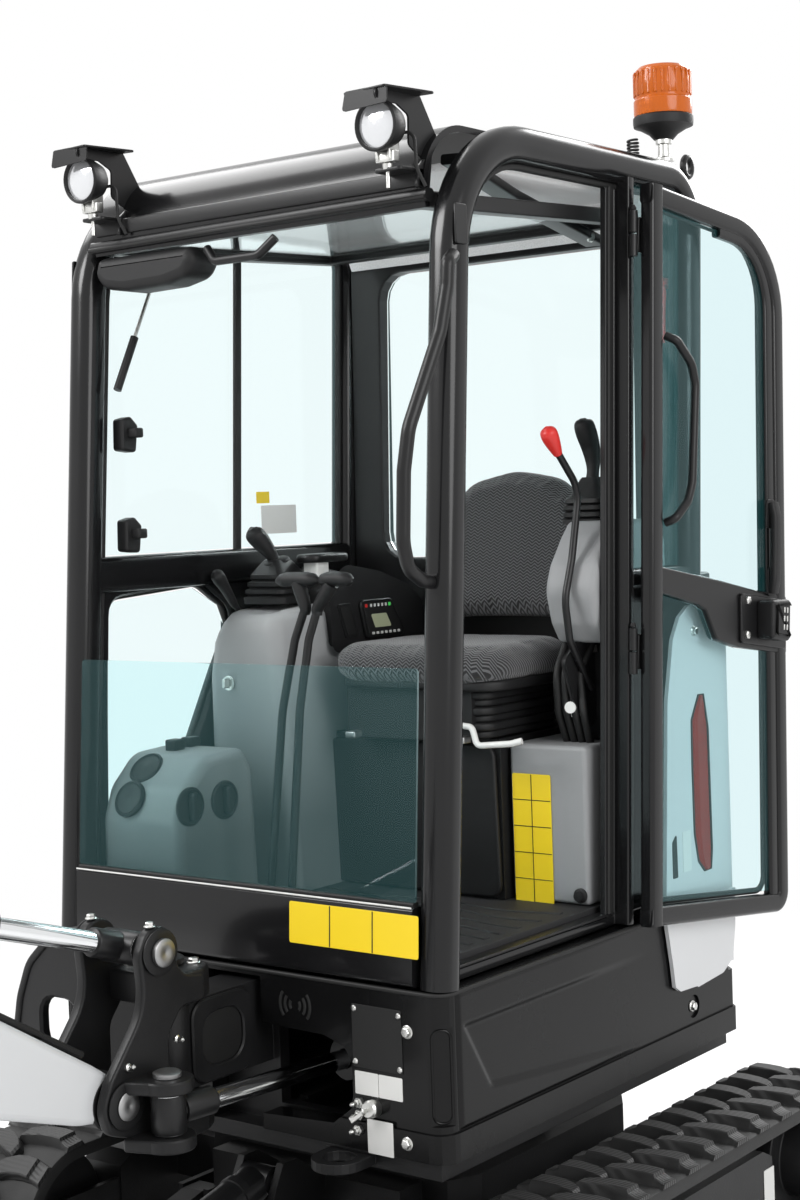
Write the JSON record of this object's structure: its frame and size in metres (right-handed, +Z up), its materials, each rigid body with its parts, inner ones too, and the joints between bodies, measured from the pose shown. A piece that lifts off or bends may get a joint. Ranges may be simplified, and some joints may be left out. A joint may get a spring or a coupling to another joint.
{
  "type": "mini excavator",
  "caption": "Compact tracked digger with an operator cab, opening door, slewing house, swinging jointed boom, arm and bucket, and a dozer blade.",
  "frame": {"origin": "centre of the standing box on the ground", "axes": "+Z up, the machine looks along -Y, +X is the machine's left side with the door"},
  "size_m": [1.36, 4.5964, 2.502],
  "materials": {
    "steel_dark": "satin",
    "rubber": "matte",
    "cast": "satin",
    "black_paint": "gloss",
    "white_paint": "gloss",
    "ram_black": "satin",
    "ram_chrome": "polished",
    "engine_grey": "matte",
    "glass": "clear",
    "red_lens": "gloss",
    "amber_lens": "gloss",
    "floor_mat": "matte",
    "black_plastic": "matte",
    "grey_plastic": "matte",
    "seat_cloth": "woven"
  },
  "bodies": {
    "undercarriage": {"track_frame": "steel_dark", "track_left": "rubber", "track_right": "rubber", "idlers": "cast", "sprockets": "cast", "track_rollers": "cast", "slew_ring": "steel_dark"},
    "blade": {"dozer_blade": "steel_dark"},
    "blade_ram": {"blade_cylinder": "ram_black"},
    "blade_ram_rod": {"blade_rod": "ram_chrome"},
    "house": {"house_frame": "steel_dark", "body_panels": "black_paint", "engine": "engine_grey", "rear_fenders": "white_paint", "tail_lights": "red_lens", "rear_shelf": "white_paint", "cab_floor": "floor_mat", "cab_left_frame": "black_paint", "cab_right_frame": "black_paint", "cab_front_panel": "black_paint", "cab_roof": "black_paint", "cab_rear_wall": "black_paint", "front_glass": "glass", "side_glass": "glass", "rear_glass": "glass", "stowed_window": "black_paint", "seat_base": "black_plastic", "seat_box": "grey_plastic", "seat_cushion": "seat_cloth", "seat_back": "seat_cloth", "right_console": "grey_plastic", "left_console": "grey_plastic", "control_levers": "black_plastic", "grab_handle": "black_paint", "work_lights": "black_plastic", "beacon": "amber_lens"},
    "hood": {"engine_hood": "white_paint"},
    "door": {"door_frame": "black_paint", "door_glass": "glass", "door_hardware": "black_plastic"},
    "post": {"swing_post": "steel_dark"},
    "swing_ram": {"swing_cylinder": "ram_black"},
    "swing_ram_rod": {"swing_rod": "ram_chrome"},
    "boom": {"boom": "white_paint"},
    "boom_ram": {"boom_cylinder": "ram_black"},
    "boom_ram_rod": {"boom_rod": "ram_chrome"},
    "arm": {"arm": "white_paint"},
    "arm_ram": {"arm_cylinder": "ram_black"},
    "arm_ram_rod": {"arm_rod": "ram_chrome"},
    "bucket": {"bucket": "steel_dark"},
    "bucket_ram": {"bucket_cylinder": "ram_black"},
    "bucket_ram_rod": {"bucket_rod": "ram_chrome"},
    "rocker": {"bucket_rocker": "steel_dark"},
    "link": {"bucket_link": "steel_dark"}
  },
  "joints": [
    {"name": "slew", "type": "hinge", "parent": "undercarriage", "child": "house", "pos_m": [0, 1.5584, 0.4], "axis": [0, 0, 1], "continuous": true},
    {"name": "blade_lift", "type": "hinge", "parent": "undercarriage", "child": "blade", "pos_m": [0, 1.1584, 0.2], "axis": [-1, 0, 0], "range_deg": [-20, 19]},
    {"name": "boom_swing", "type": "hinge", "parent": "house", "child": "post", "pos_m": [0, 0.7984, 0.65], "axis": [0, 0, 1], "range_deg": [-50, 60]},
    {"name": "boom_lift", "type": "hinge", "parent": "post", "child": "boom", "pos_m": [0, 0.6094, 0.605], "axis": [-1, 0, 0], "range_deg": [-48, 52]},
    {"name": "arm_crowd", "type": "hinge", "parent": "boom", "child": "arm", "pos_m": [0, -1.11964, 0.68348], "axis": [1, 0, 0], "range_deg": [-2, 115]},
    {"name": "bucket_curl", "type": "hinge", "parent": "arm", "child": "bucket", "pos_m": [0, -2.05322, 0.32511], "axis": [1, 0, 0], "range_deg": [-135, 25]},
    {"name": "door_hinge", "type": "hinge", "parent": "house", "child": "door", "pos_m": [0.496, 1.6384, 1.307], "axis": [0, 0.0576, 0.9983], "range_deg": [-177, 0]},
    {"name": "hood_hinge", "type": "hinge", "parent": "house", "child": "hood", "pos_m": [-0.337, 2.1504, 1.1], "axis": [0, 0, 1], "range_deg": [0, 100]},
    {"name": "boom_cylinder_pivot", "type": "hinge", "parent": "boom", "child": "boom_ram", "pos_m": [0, -0.08688, 1.09254], "axis": [1, 0, 0], "range_deg": [-2.75, 2.82]},
    {"name": "boom_rod_slide", "type": "slide", "parent": "boom_ram", "child": "boom_ram_rod", "axis": [0, 0.9561, -0.2931], "range_m": [-0.2192, 0.2026]},
    {"name": "arm_cylinder_pivot", "type": "hinge", "parent": "boom", "child": "arm_ram", "pos_m": [0, -0.22221, 1.12065], "axis": [1, 0, 0], "range_deg": [-6.67, 2.08]},
    {"name": "arm_rod_slide", "type": "slide", "parent": "arm_ram", "child": "arm_ram_rod", "axis": [0, -0.9382, -0.3461], "range_m": [-0.0098, 0.3381]},
    {"name": "bucket_cylinder_pivot", "type": "hinge", "parent": "arm", "child": "bucket_ram", "pos_m": [0, -1.31198, 0.79388], "axis": [1, 0, 0], "range_deg": [-4.48, 2.46]},
    {"name": "bucket_rod_slide", "type": "slide", "parent": "bucket_ram", "child": "bucket_ram_rod", "axis": [0, -0.9236, -0.3833], "range_m": [-0.3189, 0.0623]},
    {"name": "rocker_pivot", "type": "hinge", "parent": "arm", "child": "rocker", "pos_m": [0, -1.88838, 0.42588], "axis": [1, 0, 0], "range_deg": [-115.4, 23]},
    {"name": "link_pivot", "type": "hinge", "parent": "bucket", "child": "link", "pos_m": [0, -2.21031, 0.29459], "axis": [1, 0, 0], "range_deg": [-21.5, 107.3]},
    {"name": "blade_cylinder_pivot", "type": "hinge", "parent": "undercarriage", "child": "blade_ram", "pos_m": [0, 1.0354, 0.339], "axis": [1, 0, 0], "range_deg": [-24.04, 25.2]},
    {"name": "blade_rod_slide", "type": "slide", "parent": "blade_ram", "child": "blade_ram_rod", "axis": [0, -0.9765, -0.2153], "range_m": [-0.0564, 0.0592]},
    {"name": "swing_cylinder_pivot", "type": "hinge", "parent": "house", "child": "swing_ram", "pos_m": [0.236, 1.4584, 0.586], "axis": [0, 0, 1], "range_deg": [-8.2, 9.44]},
    {"name": "swing_rod_slide", "type": "slide", "parent": "swing_ram", "child": "swing_ram_rod", "axis": [-0.13, -0.9915, 0], "range_m": [-0.1577, 0.1321]}
  ],
  "couplings": [
    {"joint": "boom_cylinder_pivot", "follows": "boom_lift", "ratio": 0.01571},
    {"joint": "boom_rod_slide", "follows": "boom_lift", "m_per_rad": -0.23708},
    {"joint": "arm_cylinder_pivot", "follows": "arm_crowd", "ratio": -0.04062},
    {"joint": "arm_rod_slide", "follows": "arm_crowd", "m_per_rad": 0.16645},
    {"joint": "bucket_cylinder_pivot", "follows": "bucket_curl", "ratio": 0.01839},
    {"joint": "bucket_rod_slide", "follows": "bucket_curl", "m_per_rad": 0.13365},
    {"joint": "rocker_pivot", "follows": "bucket_curl", "ratio": 0.84},
    {"joint": "link_pivot", "follows": "bucket_curl", "ratio": -0.78},
    {"joint": "blade_cylinder_pivot", "follows": "blade_lift", "ratio": -1.1601},
    {"joint": "blade_rod_slide", "follows": "blade_lift", "m_per_rad": -0.15802},
    {"joint": "swing_cylinder_pivot", "follows": "boom_swing", "ratio": 0.124},
    {"joint": "swing_rod_slide", "follows": "boom_swing", "m_per_rad": -0.14677}
  ]
}
